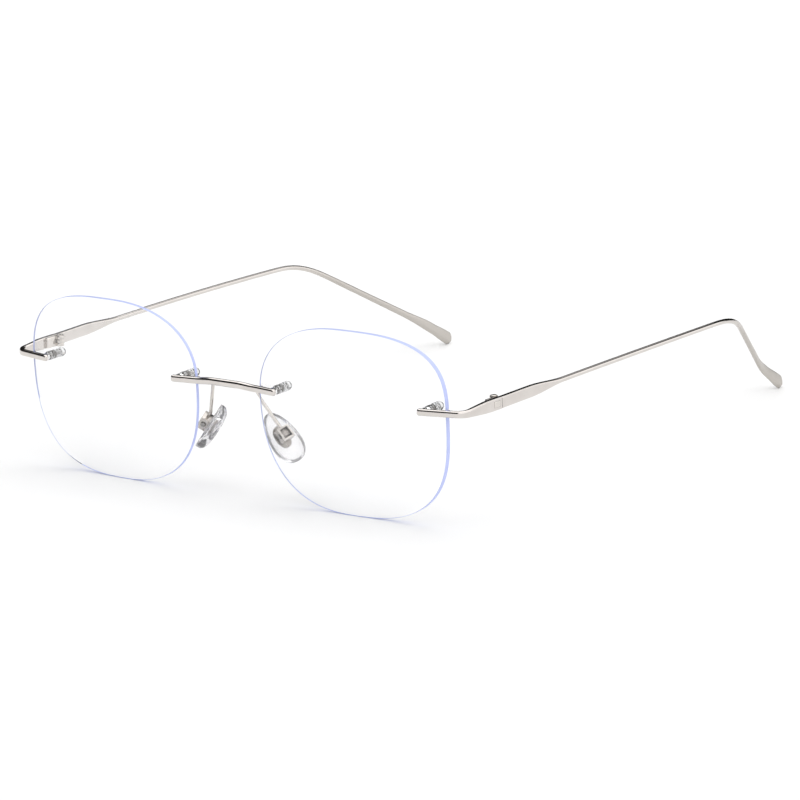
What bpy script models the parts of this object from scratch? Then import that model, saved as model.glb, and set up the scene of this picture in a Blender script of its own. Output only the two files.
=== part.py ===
"""Rimless eyeglasses: two drilled lenses joined by a bridge, two end pieces and two folding temples.

The glasses stand open on the bottoms of the lenses and the ends of the temples. +Z is up, the front faces -Y,
and the wearer's left is +X. The origin is the middle of the footprint, on the surface that they stand on.
Sizes below are in millimetres, and new_object() turns them into metres. Every paired piece is built for the
left side and mirrored for the right.
"""

import math

import bmesh
import bpy
from mathutils import Matrix, Vector

MM = 0.001
SIDES = {"left": 1, "right": -1}
UP = Vector((0, 0, 1))
WORLD_AXES = (Vector((1, 0, 0)), Vector((0, 1, 0)), UP)
SMOOTH_BELOW = math.radians(38)

# Lens. Its outline is four superellipse quarters round the mounting centre, and both faces are spherical.
LENS_CENTRE = Vector((33.5, -78.25, 25.29))
LENS_NASAL, LENS_TEMPORAL = 24.3, 26.2
LENS_TOP, LENS_BOTTOM = 17.4, 25.35
SQUARE_TOP_NASAL, SQUARE_TOP_TEMPORAL = 2.30, 2.90
SQUARE_BOTTOM_NASAL, SQUARE_BOTTOM_TEMPORAL = 2.50, 2.85
LENS_RADIUS = 123.5
LENS_THICKNESS = 1.3
LENS_TILT = math.radians(1.2)
LENS_WRAP = math.radians(1.5)
LENS_POINTS = 64
LENS_RINGS = (0.15, 0.4, 0.65, 0.85, 1.0)

# Bars on the lenses' front. A height is measured up from the mounting centre.
BAR_HEIGHT = 1.3
BAR_GAP = 0.25
BAR_HALF_THICK, BAR_HALF_TALL = 0.62, 0.72
BRIDGE_END, BRIDGE_EDGE = -18.5, -24.0
BRIDGE_SHOULDER, BRIDGE_ARCH_HALF, BRIDGE_ARCH_RISE = 7.6, 4.2, 0.35
BRIDGE_RADIUS = 5.0

# What passes through each lens: a hole for the stud, and a notch in the edge for a peg.
NASAL_HOLE, TEMPORAL_HOLE = -19.8, 21.3
NASAL_PEG, TEMPORAL_PEG = -24.05, 26.0
HOLE_RADIUS, NOTCH_RADIUS = 0.88, 0.56
STUD_RADIUS, PEG_RADIUS = 0.46, 0.42
STUD_START, STUD_END = -0.12, 5.6
BORE_RADIUS = 0.56
BUSHING_NECK, BUSHING_FLANGE, BUSHING_BACK, FLANGE_GAP = 0.78, 1.05, 2.6, 0.26
NUT_FRONT, NUT_BACK, NUT_RADIUS = 2.66, 3.36, 1.02
CAP_FRONT, CAP_BACK, CAP_RADIUS, CAP_RIBS = 3.42, 6.8, 1.1, 3
STACK_POINTS = 16

# End piece, from the lens's temporal edge round the corner and back to the hinge.
END_BAR_INNER, END_BAR_OUTER = 19.9, 27.0
CORNER_X, CORNER_BACK, CORNER_RADIUS = 64.2, 3.65, 2.6
HINGE_X, HINGE_BACK, HINGE_Z = 64.5, 17.0, 26.8
JOINT_GAP = 0.12
BLADE_HALF_THICK, BLADE_HALF_TALL = 0.62, 1.32

# Hinge: a front leaf with two knuckles, a temple leaf with one between them, and a screw.
KNUCKLE_RADIUS, KNUCKLE_HALF_STACK, KNUCKLE_HALF_MIDDLE = 0.95, 1.25, 0.42
KNUCKLE_CLEARANCE = 0.12
HINGE_BORE, HINGE_SCREW_RADIUS, HINGE_HEAD_RADIUS, HINGE_HEAD_TALL = 0.5, 0.42, 0.78, 0.24
LEAF_LONG, TEMPLE_LEAF_LONG, LEAF_THICK, LEAF_GAP = 3.9, 2.6, 0.6, 0.08
TAB_NEAR, TAB_FAR, TAB_HALF_TALL = 0.75, 2.95, 0.68
SLOT_GAP = 0.08

# Temple: flat blade, then wire with a slight outward bow, the ear bend, and a flat paddle at the tip.
BEND_X, BEND_BACK, BEND_Z = 65.1, 112.5, 27.7
BOW_OUT, BOW_UP, BOW_STEPS = 0.76, 0.46, 10
BEND_RADIUS, FLARE_RADIUS = 23.0, 26.0
DROP_DIRECTION = Vector((-0.33, 0.8, -0.49)).normalized()
TIP_DIRECTION = Vector((-0.05, 0.86, -0.517)).normalized()
DROP_LENGTH, TIP_LENGTH = 41.8, 12.1
BLADE_LENGTH, TAPER_LENGTH, WIRE_RADIUS = 12.6, 10.5, 0.58
PADDLE_HALF_THICK, PADDLE_HALF_WIDE = 0.5, 1.62
TEMPLE_POINTS = 12

# Nose pad. Its frame: long axis down and out, wide axis back and out, and the outer face's normal.
PAD_CENTRE = Vector((10.5, LENS_CENTRE.y + 8.3, 14.3))
PAD_LONG = Vector((0.63, 0.06, -0.774)).normalized()
PAD_SPLAY = math.radians(30)
PAD_HALF_LONG, PAD_HALF_WIDE, PAD_EGG = 6.7, 3.75, 0.16
PAD_DROP = 0.55
PAD_THICK, PAD_RIM, PAD_POINTS = 2.1, 0.7, 24
INSERT_HALF_LONG, INSERT_HALF_WIDE, INSERT_THICK, POCKET_GAP = 2.7, 1.75, 0.5, 0.12
TAB_HALF_WIDE, TAB_HALF_LONG, TAB_TOP = 0.8, 0.6, 2.4
BOX_HALF_WIDE, BOX_HALF_LONG, BOX_WALL = 1.5, 1.6, 0.45
BOX_LOW, BOX_HIGH = 0.6, 2.9
ROCK_HEIGHT = 1.75
PAD_SCREW_RADIUS, PAD_SCREW_BORE, PAD_HEAD_RADIUS, PAD_HEAD_TALL = 0.32, 0.42, 0.62, 0.3
ARM_RADIUS, ARM_CORNER_RADIUS = 0.4, 0.9
ARM_START = Vector((5.9, LENS_CENTRE.y + 2.9, 26.4))
ARM_TURN = Vector((6.1, LENS_CENTRE.y + 4.1, 25.6))

METAL = ("warm_silver", (0.80, 0.77, 0.73, 1), 1.0, 0.18)
DARK_METAL = ("pin_steel", (0.30, 0.29, 0.28, 1), 1.0, 0.3)
CLEAR_LENS = ("clear_lens", (0.86, 0.88, 0.98, 1), 0.0, 0.05)
CLEAR_PLASTIC = ("clear_plastic", (0.88, 0.88, 0.88, 1), 0.0, 0.2)
SILICONE = ("silicone", (0.92, 0.91, 0.90, 1), 0.0, 0.3)


def clear_scene():
    for obj in list(bpy.data.objects):
        bpy.data.objects.remove(obj, do_unlink=True)


def material(spec):
    name, colour, metallic, roughness = spec
    found = bpy.data.materials.get(name)
    if found:
        return found
    made = bpy.data.materials.new(name)
    made.use_nodes = True
    shader = made.node_tree.nodes["Principled BSDF"]
    shader.inputs["Base Color"].default_value = colour
    shader.inputs["Metallic"].default_value = metallic
    shader.inputs["Roughness"].default_value = roughness
    if metallic == 0:
        shader.inputs["Transmission Weight"].default_value = 0.9
    return made


def new_pivot(name, place, side=1):
    """An empty at a place in millimetres, mirrored for the right side. Pieces are parented to one."""
    pivot = bpy.data.objects.new(name, None)
    pivot.location = Vector((side * place.x, place.y, place.z)) * MM
    pivot.empty_display_size = 2 * MM
    bpy.context.scene.collection.objects.link(pivot)
    return pivot


def new_object(name, bm, spec, pivot, side=1):
    """Turns a bmesh in millimetres, built for the left side, into an object whose origin is at the pivot."""
    bmesh.ops.scale(bm, vec=(side * MM, MM, MM), verts=bm.verts)
    bmesh.ops.translate(bm, vec=-pivot.location, verts=bm.verts)
    bmesh.ops.recalc_face_normals(bm, faces=bm.faces)
    mesh = bpy.data.meshes.new(name)
    bm.to_mesh(mesh)
    bm.free()
    mesh.shade_smooth()
    mesh.set_sharp_from_angle(angle=SMOOTH_BELOW)
    mesh.materials.append(material(spec))
    obj = bpy.data.objects.new(name, mesh)
    obj.parent = pivot
    bpy.context.scene.collection.objects.link(obj)
    return obj


def combine(obj, operation, name, bm, pivot, side=1):
    """Cuts a shape from the object, or unites it with the object, by a Boolean that stays live."""
    tool = new_object(name, bm, METAL, pivot, side)
    tool.hide_render = True
    tool.display_type = "WIRE"
    boolean = obj.modifiers.new(name, "BOOLEAN")
    boolean.operation = operation
    boolean.solver = "EXACT"
    boolean.object = tool


def loft(rings, closed=False):
    """A solid through rings of points: with a flat face at each end, or closed like a tyre."""
    bm = bmesh.new()
    loops = [[bm.verts.new(point) for point in ring] for ring in rings]
    pairs = list(zip(loops, loops[1:]))
    if closed:
        pairs.append((loops[-1], loops[0]))
    else:
        bm.faces.new(reversed(loops[0]))
        bm.faces.new(loops[-1])
    for first, second in pairs:
        for k in range(len(first)):
            after = (k + 1) % len(first)
            bm.faces.new((first[k], first[after], second[after], second[k]))
    return bm


def superellipse(angle, square):
    """The point at this angle on |x|^square + |y|^square = 1."""
    c, s = math.cos(angle), math.sin(angle)
    reach = (abs(c) ** square + abs(s) ** square) ** (-1 / square)
    return c * reach, s * reach


def turns(count, offset=0.0):
    return [2 * math.pi * (k + offset) / count for k in range(count)]


def rounded_path(corners, radii, steps):
    """The line through the corners, each inner corner rounded to its radius. Radius 0 keeps it sharp."""
    points = [corners[0]]
    for before, corner, after, radius in zip(corners, corners[1:], corners[2:], radii):
        if radius == 0:
            points.append(corner)
            continue
        arrive = (corner - before).normalized()
        leave = (after - corner).normalized()
        turn = arrive.angle(leave)
        start = corner - arrive * radius * math.tan(turn / 2)
        axis = arrive.cross(leave).normalized()
        centre = start + axis.cross(arrive) * radius
        for k in range(steps + 1):
            points.append(centre + Matrix.Rotation(turn * k / steps, 3, axis) @ (start - centre))
    points.append(corners[-1])
    return points


def distances(path):
    total, found = 0.0, [0.0]
    for first, second in zip(path, path[1:]):
        total += (second - first).length
        found.append(total)
    return found


def between(table, distance):
    """The row of values at a distance, blended smoothly between the table's stations."""
    for (start, *low), (end, *high) in zip(table, table[1:]):
        if distance <= end:
            share = (distance - start) / (end - start)
            share = share * share * (3 - 2 * share)
            return [a + (b - a) * share for a, b in zip(low, high)]
    return list(table[-1][1:])


def sweep(path, stations, count, upright=UP):
    """A bar along the path. A station is (distance, half thickness, half height, squareness)."""
    marks = distances(path)
    inside = [row[0] for row in stations if all(abs(row[0] - mark) > 0.2 for mark in marks)]
    rings = []
    for distance in sorted(marks + [mark for mark in inside if mark < marks[-1]]):
        k = min(sum(mark <= distance for mark in marks), len(marks) - 1)
        share = (distance - marks[k - 1]) / (marks[k] - marks[k - 1])
        centre = path[k - 1].lerp(path[k], share)
        tangent = (path[k] - path[k - 1]).normalized()
        if share < 1e-6 and k > 1:
            tangent = (tangent + (path[k - 1] - path[k - 2]).normalized()).normalized()
        tall = (upright - tangent * upright.dot(tangent)).normalized()
        across = tangent.cross(tall)
        half_thick, half_tall, square = between(stations, distance)
        ring = []
        for angle in turns(count, 0.5):
            x, y = superellipse(angle, square)
            ring.append(centre + across * half_thick * x + tall * half_tall * y)
        rings.append(ring)
    return loft(rings)


def block(centre, axes, halves):
    """A box with its half sizes along three axes."""
    bm = bmesh.new()
    bmesh.ops.create_cube(bm, size=2)
    turn = Matrix([axis * half for axis, half in zip(axes, halves)]).transposed()
    for vert in bm.verts:
        vert.co = centre + turn @ vert.co
    return bm


def rod(start, end, radius, count):
    """A straight round bar."""
    along = (end - start).normalized()
    first = along.orthogonal().normalized()
    second = along.cross(first)
    rings = []
    for centre in (start, end):
        rings.append([centre + (first * math.cos(a) + second * math.sin(a)) * radius for a in turns(count)])
    return loft(rings)


# Lens and what goes through it


def lens_place(u, depth, v):
    """A point from the lens's own frame: u to the temple, depth behind the front vertex, v up."""
    turn = Matrix.Rotation(LENS_WRAP, 3, "Z") @ Matrix.Rotation(LENS_TILT, 3, "X")
    return LENS_CENTRE + turn @ Vector((u, depth, v))


def sag(u, v):
    return LENS_RADIUS - math.sqrt(LENS_RADIUS**2 - u * u - v * v)


def on_lens(u, v, depth):
    """A point this far behind the lens's front face."""
    return lens_place(u, sag(u, v) + depth, v)


def lens_outline(angle):
    temporal, top = math.cos(angle) >= 0, math.sin(angle) >= 0
    if top:
        square = SQUARE_TOP_TEMPORAL if temporal else SQUARE_TOP_NASAL
    else:
        square = SQUARE_BOTTOM_TEMPORAL if temporal else SQUARE_BOTTOM_NASAL
    x, y = superellipse(angle, square)
    return x * (LENS_TEMPORAL if temporal else LENS_NASAL), y * (LENS_TOP if top else LENS_BOTTOM)


def add_lens(name, side, pivot):
    outline = [lens_outline(angle) for angle in turns(LENS_POINTS)]
    rings = [[on_lens(s * u, s * v, 0) for u, v in outline] for s in LENS_RINGS]
    rings += [[on_lens(s * u, s * v, LENS_THICKNESS) for u, v in outline] for s in reversed(LENS_RINGS)]
    lens = new_object(f"lens_{name}", loft(rings), CLEAR_LENS, pivot, side)
    for where, hole, peg, outward in (
        ("bridge", NASAL_HOLE, NASAL_PEG, -1),
        ("temple", TEMPORAL_HOLE, TEMPORAL_PEG, 1),
    ):
        bore = turned([(-2, HOLE_RADIUS), (LENS_THICKNESS + 2, HOLE_RADIUS)], hole)
        combine(lens, "DIFFERENCE", f"cut_hole_{where}_{name}", bore, pivot, side)
        notch = []
        for angle in turns(STACK_POINTS):
            u = NOTCH_RADIUS * math.cos(angle)
            notch.append((u + 3 * outward if u * outward > 0 else u, NOTCH_RADIUS * math.sin(angle)))
        rings = []
        for depth in (-2, LENS_THICKNESS + 2):
            base = sag(peg, BAR_HEIGHT) + depth
            rings.append([lens_place(peg + u, base, BAR_HEIGHT + v) for u, v in notch])
        combine(lens, "DIFFERENCE", f"cut_notch_{where}_{name}", loft(rings), pivot, side)


def turned(profile, u, closed=False):
    """A round piece along the hole's axis at u. The profile is (depth behind the lens's front, radius)."""
    base = sag(u, BAR_HEIGHT)
    rings = []
    for depth, radius in profile:
        ring = []
        for angle in turns(STACK_POINTS):
            across, rise = radius * math.cos(angle), radius * math.sin(angle)
            ring.append(lens_place(u + across, base + depth, BAR_HEIGHT + rise))
        rings.append(ring)
    return loft(rings, closed)


def cap_profile():
    """The bore from its floor to its mouth, then the ribbed outside and the rounded end."""
    profile = [(STUD_END + 0.15, BORE_RADIUS), (CAP_FRONT, BORE_RADIUS), (CAP_FRONT, 0.85 * CAP_RADIUS)]
    rib = (CAP_BACK - 0.6 - CAP_FRONT) / CAP_RIBS
    for k in range(CAP_RIBS):
        start = CAP_FRONT + k * rib
        profile += [(start + 0.3 * rib, CAP_RADIUS), (start + 0.7 * rib, CAP_RADIUS)]
        profile.append((start + rib, 0.85 * CAP_RADIUS))
    profile += [(CAP_BACK - 0.2, 0.62 * CAP_RADIUS), (CAP_BACK, 0.3 * CAP_RADIUS)]
    return profile


def add_mount(name, side, pivot):
    """What joins a bar to the lens at one place: stud, bushing, nut, cap and edge peg."""
    for where, hole, peg in (
        ("bridge", NASAL_HOLE, NASAL_PEG),
        ("temple", TEMPORAL_HOLE, TEMPORAL_PEG),
    ):
        place = f"{where}_{name}"
        stud = turned([(STUD_START, STUD_RADIUS), (STUD_END, STUD_RADIUS)], hole)
        new_object(f"stud_{place}", stud, METAL, pivot, side)
        short = turned([(STUD_START, PEG_RADIUS), (LENS_THICKNESS, PEG_RADIUS)], peg)
        new_object(f"peg_{place}", short, METAL, pivot, side)
        neck_front, flange_front = 0.2, LENS_THICKNESS + FLANGE_GAP
        bushing = [
            (neck_front, BORE_RADIUS),
            (neck_front, BUSHING_NECK),
            (flange_front, BUSHING_NECK),
            (flange_front, BUSHING_FLANGE),
            (BUSHING_BACK, BUSHING_FLANGE),
            (BUSHING_BACK, BORE_RADIUS),
        ]
        new_object(f"bushing_{place}", turned(bushing, hole, closed=True), CLEAR_PLASTIC, pivot, side)
        nut = [
            (NUT_FRONT, BORE_RADIUS),
            (NUT_FRONT, NUT_RADIUS),
            (NUT_BACK, NUT_RADIUS),
            (NUT_BACK, BORE_RADIUS),
        ]
        new_object(f"nut_{place}", turned(nut, hole, closed=True), DARK_METAL, pivot, side)
        new_object(f"cap_{place}", turned(cap_profile(), hole), CLEAR_PLASTIC, pivot, side)


# Bridge and end pieces


def on_bar(u):
    """A point on the middle line of a bar that lies along the lens's front."""
    return on_lens(u, BAR_HEIGHT, -BAR_GAP - BAR_HALF_THICK)


def rounded_ends(length, rows):
    """Stations for a bar whose ends are rounded: each end row is drawn in over its last 0.5 mm."""
    (thick_0, tall_0, square_0), (thick_1, tall_1, square_1) = rows[0][1:], rows[-1][1:]
    start = [(0.0, 0.55 * thick_0, 0.45 * tall_0, square_0), (0.22, 0.9 * thick_0, 0.85 * tall_0, square_0)]
    end = [(length - 0.22, 0.9 * thick_1, 0.85 * tall_1, square_1)]
    end.append((length, 0.55 * thick_1, 0.45 * tall_1, square_1))
    return start + [(0.5, *rows[0][1:])] + list(rows[1:-1]) + [(length - 0.5, *rows[-1][1:])] + end


def add_bridge(pivot):
    half = [on_bar(BRIDGE_END), on_bar(BRIDGE_EDGE)]
    shoulder = on_bar(BRIDGE_EDGE)
    half.append(Vector((BRIDGE_SHOULDER, shoulder.y + 0.25, shoulder.z)))
    half.append(Vector((BRIDGE_ARCH_HALF, shoulder.y, shoulder.z + BRIDGE_ARCH_RISE)))
    other = [Vector((-point.x, point.y, point.z)) for point in reversed(half)]
    path = rounded_path(half + other, [4.0, BRIDGE_RADIUS, BRIDGE_RADIUS] * 2, 3)
    length = distances(path)[-1]
    bar = (BAR_HALF_THICK, BAR_HALF_TALL, 4.0)
    arch = (BAR_HALF_THICK, 0.8, 2.6)
    rows = [(0, *bar), (6.0, *bar), (10.0, *arch)]
    rows += [(length - 10.0, *arch), (length - 6.0, *bar), (length, *bar)]
    new_object("bridge", sweep(path, rounded_ends(length, rows), 12), METAL, pivot)


def hinge_front():
    """The middle of the joint between end piece and temple."""
    return Vector((HINGE_X, LENS_CENTRE.y + HINGE_BACK, HINGE_Z))


def hinge_axis():
    inward = BLADE_HALF_THICK + KNUCKLE_CLEARANCE + KNUCKLE_RADIUS
    return hinge_front() - Vector((inward, 0, 0))


def add_end_piece(name, side, pivot):
    inner, outer = on_bar(END_BAR_INNER), on_bar(END_BAR_OUTER)
    corner = Vector((CORNER_X, LENS_CENTRE.y + CORNER_BACK, outer.z))
    back = hinge_front() - Vector((0, JOINT_GAP, 0))
    path = rounded_path([inner, outer, corner, back], [4.0, CORNER_RADIUS], 5)
    length = distances(path)[-1]
    bar = (BAR_HALF_THICK, BAR_HALF_TALL, 3.5)
    blade = (BLADE_HALF_THICK, BLADE_HALF_TALL + 0.06, 7.0)
    stations = rounded_ends(length, [(0, *bar), (9.0, *bar), (length - 3.0, *blade), (length, *blade)])[:-2]
    end_piece = new_object(f"end_piece_{name}", sweep(path, stations, 12), METAL, pivot, side)
    slot = tab_block(SLOT_GAP, 1.0)
    combine(end_piece, "DIFFERENCE", f"cut_slot_{name}", slot, pivot, side)


# Hinge


def tab_block(grow, reach):
    """The rectangular tab through the end piece's side, grown by a gap and reaching past the outer face."""
    joint = hinge_front()
    near, far = joint.y - TAB_NEAR + grow, joint.y - TAB_FAR - grow
    inner, outer = joint.x - BLADE_HALF_THICK - 0.4, joint.x + BLADE_HALF_THICK + reach
    centre = Vector(((inner + outer) / 2, (near + far) / 2, joint.z))
    halves = ((outer - inner) / 2, (near - far) / 2, TAB_HALF_TALL + grow)
    return block(centre, WORLD_AXES, halves)


def leaf(outward, long, low, high):
    """A knuckle round the hinge's axis with its flat leaf. outward is 1 for a leaf that runs back."""
    axis = hinge_axis()
    flat_outer = KNUCKLE_RADIUS + KNUCKLE_CLEARANCE - LEAF_GAP
    flat_inner = flat_outer - LEAF_THICK
    outline = [(flat_outer, long), (flat_inner, long)]
    first = math.asin(-flat_inner / KNUCKLE_RADIUS)
    arc = math.pi * 1.5 + first
    steps = 12
    for k in range(steps + 1):
        angle = math.pi / 2 + first + arc * k / steps
        outline.append((KNUCKLE_RADIUS * math.cos(angle), KNUCKLE_RADIUS * math.sin(angle)))
    outline.append((flat_outer, 0.25))
    rings = []
    for z in (low, high):
        rings.append([Vector((axis.x + x, axis.y + outward * y, axis.z + z)) for x, y in outline])
    return loft(rings)


def add_hinge(name, side, front, temple):
    axis = hinge_axis()
    tall = KNUCKLE_HALF_STACK
    bore = [axis - UP * 3, axis + UP * 3]
    front_leaf = leaf(-1, LEAF_LONG, -tall, tall)
    obj = new_object(f"hinge_front_leaf_{name}", front_leaf, METAL, front, side)
    combine(obj, "UNION", f"add_tab_{name}", tab_block(0, 0.0), front, side)
    gap = KNUCKLE_HALF_MIDDLE + KNUCKLE_CLEARANCE
    reach = KNUCKLE_RADIUS + 0.15
    middle = block(axis + Vector((0.6, 0, 0)), WORLD_AXES, (reach + 0.7, reach, gap))
    combine(obj, "DIFFERENCE", f"cut_middle_{name}", middle, front, side)
    combine(obj, "DIFFERENCE", f"cut_front_bore_{name}", rod(*bore, HINGE_BORE, 12), front, side)

    temple_leaf = leaf(1, TEMPLE_LEAF_LONG, -KNUCKLE_HALF_MIDDLE, KNUCKLE_HALF_MIDDLE)
    obj = new_object(f"hinge_temple_leaf_{name}", temple_leaf, METAL, temple, side)
    combine(obj, "DIFFERENCE", f"cut_temple_bore_{name}", rod(*bore, HINGE_BORE, 12), temple, side)

    under_head = axis.z + tall + 0.06
    profile = [
        (axis.z - tall - 0.1, HINGE_SCREW_RADIUS),
        (under_head, HINGE_SCREW_RADIUS),
        (under_head, HINGE_HEAD_RADIUS),
        (under_head + 0.6 * HINGE_HEAD_TALL, HINGE_HEAD_RADIUS),
        (under_head + HINGE_HEAD_TALL, 0.6 * HINGE_HEAD_RADIUS),
    ]
    rings = []
    for z, radius in profile:
        centre = Vector((axis.x, axis.y, z))
        rings.append([centre + Vector((math.cos(a), math.sin(a), 0)) * radius for a in turns(12)])
    new_object(f"hinge_screw_{name}", loft(rings), METAL, front, side)


# Temple


def temple_path():
    start = hinge_front() + Vector((0, JOINT_GAP, 0))
    apex = Vector((BEND_X, LENS_CENTRE.y + BEND_BACK, BEND_Z))
    corners = []
    for k in range(BOW_STEPS + 1):
        share = k / BOW_STEPS
        bow = 4 * share * (1 - share)
        corners.append(start.lerp(apex, share) + Vector((BOW_OUT * bow, 0, BOW_UP * bow)))
    flare = corners[-1] + DROP_DIRECTION * DROP_LENGTH
    corners += [flare, flare + TIP_DIRECTION * TIP_LENGTH]
    radii = [0] * (BOW_STEPS - 1) + [BEND_RADIUS, FLARE_RADIUS]
    return rounded_path(corners, radii, 5)


def add_temple(name, side, pivot):
    path = temple_path()
    length = distances(path)[-1]
    blade = (BLADE_HALF_THICK, BLADE_HALF_TALL)
    wire = (WIRE_RADIUS, WIRE_RADIUS)
    stations = [
        (0, *blade, 7.0),
        (BLADE_LENGTH - 2, *blade, 6.0),
        (BLADE_LENGTH + TAPER_LENGTH, *wire, 2.2),
        (length - 55, *wire, 2.0),
        (length - 36, 0.6, 0.72, 2.0),
        (length - 20, 0.58, 0.82, 2.2),
        (length - 9, PADDLE_HALF_THICK, 1.3, 3.0),
        (length - 2.2, PADDLE_HALF_THICK, PADDLE_HALF_WIDE, 4.0),
        (length - 0.8, PADDLE_HALF_THICK, 0.9 * PADDLE_HALF_WIDE, 4.0),
        (length - 0.2, 0.8 * PADDLE_HALF_THICK, 0.72 * PADDLE_HALF_WIDE, 3.0),
        (length, 0.5 * PADDLE_HALF_THICK, 0.6 * PADDLE_HALF_WIDE, 3.0),
    ]
    new_object(f"temple_{name}", sweep(path, stations, TEMPLE_POINTS), METAL, pivot, side)


# Nose pad, its box and its arm


def pad_axes():
    """The pad's long axis, its wide axis, and the normal of the face that turns away from the nose."""
    back = Vector((math.sin(PAD_SPLAY), math.cos(PAD_SPLAY), 0))
    wide = (back - PAD_LONG * back.dot(PAD_LONG)).normalized()
    return PAD_LONG, wide, PAD_LONG.cross(wide)


def on_pad(along, across, out):
    long_axis, wide_axis, normal = pad_axes()
    return PAD_CENTRE + long_axis * along + wide_axis * across + normal * out


def pad_pivot():
    return on_pad(0, 0, ROCK_HEIGHT)


def pad_ring(half_long, half_wide, egg, out):
    """An oval round the pad's middle. An egg-shaped one is wider below, and its middle is lower."""
    drop = PAD_DROP if egg else 0.0
    ring = []
    for angle in turns(PAD_POINTS):
        x, y = superellipse(angle, 2.2)
        ring.append(on_pad(drop + half_long * x, half_wide * y * (1 + egg * x), out))
    return ring


def add_pad(name, side, pivot):
    pocket = (INSERT_HALF_LONG + POCKET_GAP, INSERT_HALF_WIDE + POCKET_GAP, 0.0)
    rings = [pad_ring(*pocket, -INSERT_THICK - POCKET_GAP), pad_ring(*pocket, 0.0)]
    skin = -PAD_THICK
    for scale, out in ((0.92, PAD_RIM), (1.0, PAD_RIM - 0.4), (1.0, 0.6 * skin), (0.88, 0.88 * skin)):
        rings.append(pad_ring(scale * PAD_HALF_LONG, scale * PAD_HALF_WIDE, PAD_EGG, out))
    rings.append(pad_ring(0.55 * PAD_HALF_LONG, 0.55 * PAD_HALF_WIDE, PAD_EGG, skin))
    new_object(f"nose_pad_{name}", loft(rings), SILICONE, pivot, side)

    plate_out = -0.02
    rings = [pad_ring(INSERT_HALF_LONG, INSERT_HALF_WIDE, 0.0, out) for out in (-INSERT_THICK, plate_out)]
    insert = new_object(f"pad_insert_{name}", loft(rings), METAL, pivot, side)
    axes = pad_axes()
    tab = block(on_pad(0, 0, TAB_TOP / 2 - 0.1), axes, (TAB_HALF_LONG, TAB_HALF_WIDE, TAB_TOP / 2 + 0.1))
    combine(insert, "UNION", f"add_pad_tab_{name}", tab, pivot, side)
    bore = rod(on_pad(0, -3, ROCK_HEIGHT), on_pad(0, 3, ROCK_HEIGHT), PAD_SCREW_BORE, 12)
    combine(insert, "DIFFERENCE", f"cut_pad_tab_{name}", bore, pivot, side)


def add_pad_box(name, side, pivot):
    axes = pad_axes()
    middle = (BOX_LOW + BOX_HIGH) / 2
    box = block(on_pad(0, 0, middle), axes, (BOX_HALF_LONG, BOX_HALF_WIDE, (BOX_HIGH - BOX_LOW) / 2))
    obj = new_object(f"pad_box_{name}", box, METAL, pivot, side)
    inside = (BOX_HALF_LONG - BOX_WALL, BOX_HALF_WIDE - BOX_WALL, 3.0)
    combine(obj, "DIFFERENCE", f"cut_box_{name}", block(on_pad(0, 0, middle), axes, inside), pivot, side)
    bore = rod(on_pad(0, -3, ROCK_HEIGHT), on_pad(0, 3, ROCK_HEIGHT), PAD_SCREW_BORE, 12)
    combine(obj, "DIFFERENCE", f"cut_box_bore_{name}", bore, pivot, side)

    profile = [
        (BOX_HALF_WIDE, PAD_SCREW_RADIUS),
        (-BOX_HALF_WIDE - 0.06, PAD_SCREW_RADIUS),
        (-BOX_HALF_WIDE - 0.06, PAD_HEAD_RADIUS),
        (-BOX_HALF_WIDE - 0.06 - PAD_HEAD_TALL, 0.85 * PAD_HEAD_RADIUS),
    ]
    rings = []
    for across, radius in profile:
        ring = []
        for angle in turns(12):
            ring.append(on_pad(radius * math.cos(angle), across, ROCK_HEIGHT + radius * math.sin(angle)))
        rings.append(ring)
    new_object(f"pad_screw_{name}", loft(rings), METAL, pivot, side)

    end = on_pad(-BOX_HALF_LONG - 0.06, 0, middle)
    above = on_pad(-BOX_HALF_LONG - 1.4, 0, middle)
    path = rounded_path([ARM_START, ARM_TURN, above, end], [ARM_CORNER_RADIUS, ARM_CORNER_RADIUS], 4)
    arm = (ARM_RADIUS, ARM_RADIUS, 2.0)
    wire = sweep(path, [(0, *arm), (100, *arm)], 10, upright=Vector((1, 0, 0)))
    new_object(f"pad_arm_{name}", wire, METAL, pivot, side)


def build():
    clear_scene()
    front = new_pivot("front", Vector((0, LENS_CENTRE.y, 0)))
    add_bridge(front)
    for name, side in SIDES.items():
        temple = new_pivot(f"temple_pivot_{name}", hinge_axis(), side)
        pad = new_pivot(f"pad_pivot_{name}", pad_pivot(), side)
        add_lens(name, side, front)
        add_mount(name, side, front)
        add_end_piece(name, side, front)
        add_hinge(name, side, front, temple)
        add_temple(name, side, temple)
        add_pad(name, side, pad)
        add_pad_box(name, side, front)


build()
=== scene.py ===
"""Looks for the rimless eyeglasses: finer pieces over the CAD frame, materials, light and camera.

Sizes are in millimetres until raw_object() turns them into metres, in the CAD's own frame: +Z up, the
front faces -Y, the wearer's left is +X. Every paired piece is built for the left side and mirrored for
the right.
"""

import bisect
import math

import bmesh
import bpy
from mathutils import Matrix, Quaternion, Vector


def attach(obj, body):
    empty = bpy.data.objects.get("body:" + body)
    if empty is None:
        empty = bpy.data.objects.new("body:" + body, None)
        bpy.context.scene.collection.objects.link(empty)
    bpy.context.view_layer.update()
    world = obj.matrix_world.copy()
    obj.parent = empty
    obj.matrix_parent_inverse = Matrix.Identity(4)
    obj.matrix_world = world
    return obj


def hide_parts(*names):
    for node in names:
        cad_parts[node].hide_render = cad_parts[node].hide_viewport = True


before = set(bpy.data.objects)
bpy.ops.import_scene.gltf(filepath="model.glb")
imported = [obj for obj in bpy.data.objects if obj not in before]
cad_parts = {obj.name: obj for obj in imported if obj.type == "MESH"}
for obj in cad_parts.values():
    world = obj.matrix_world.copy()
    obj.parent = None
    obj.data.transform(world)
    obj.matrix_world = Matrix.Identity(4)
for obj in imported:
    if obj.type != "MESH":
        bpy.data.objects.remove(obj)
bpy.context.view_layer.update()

MM = 0.001
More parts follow.
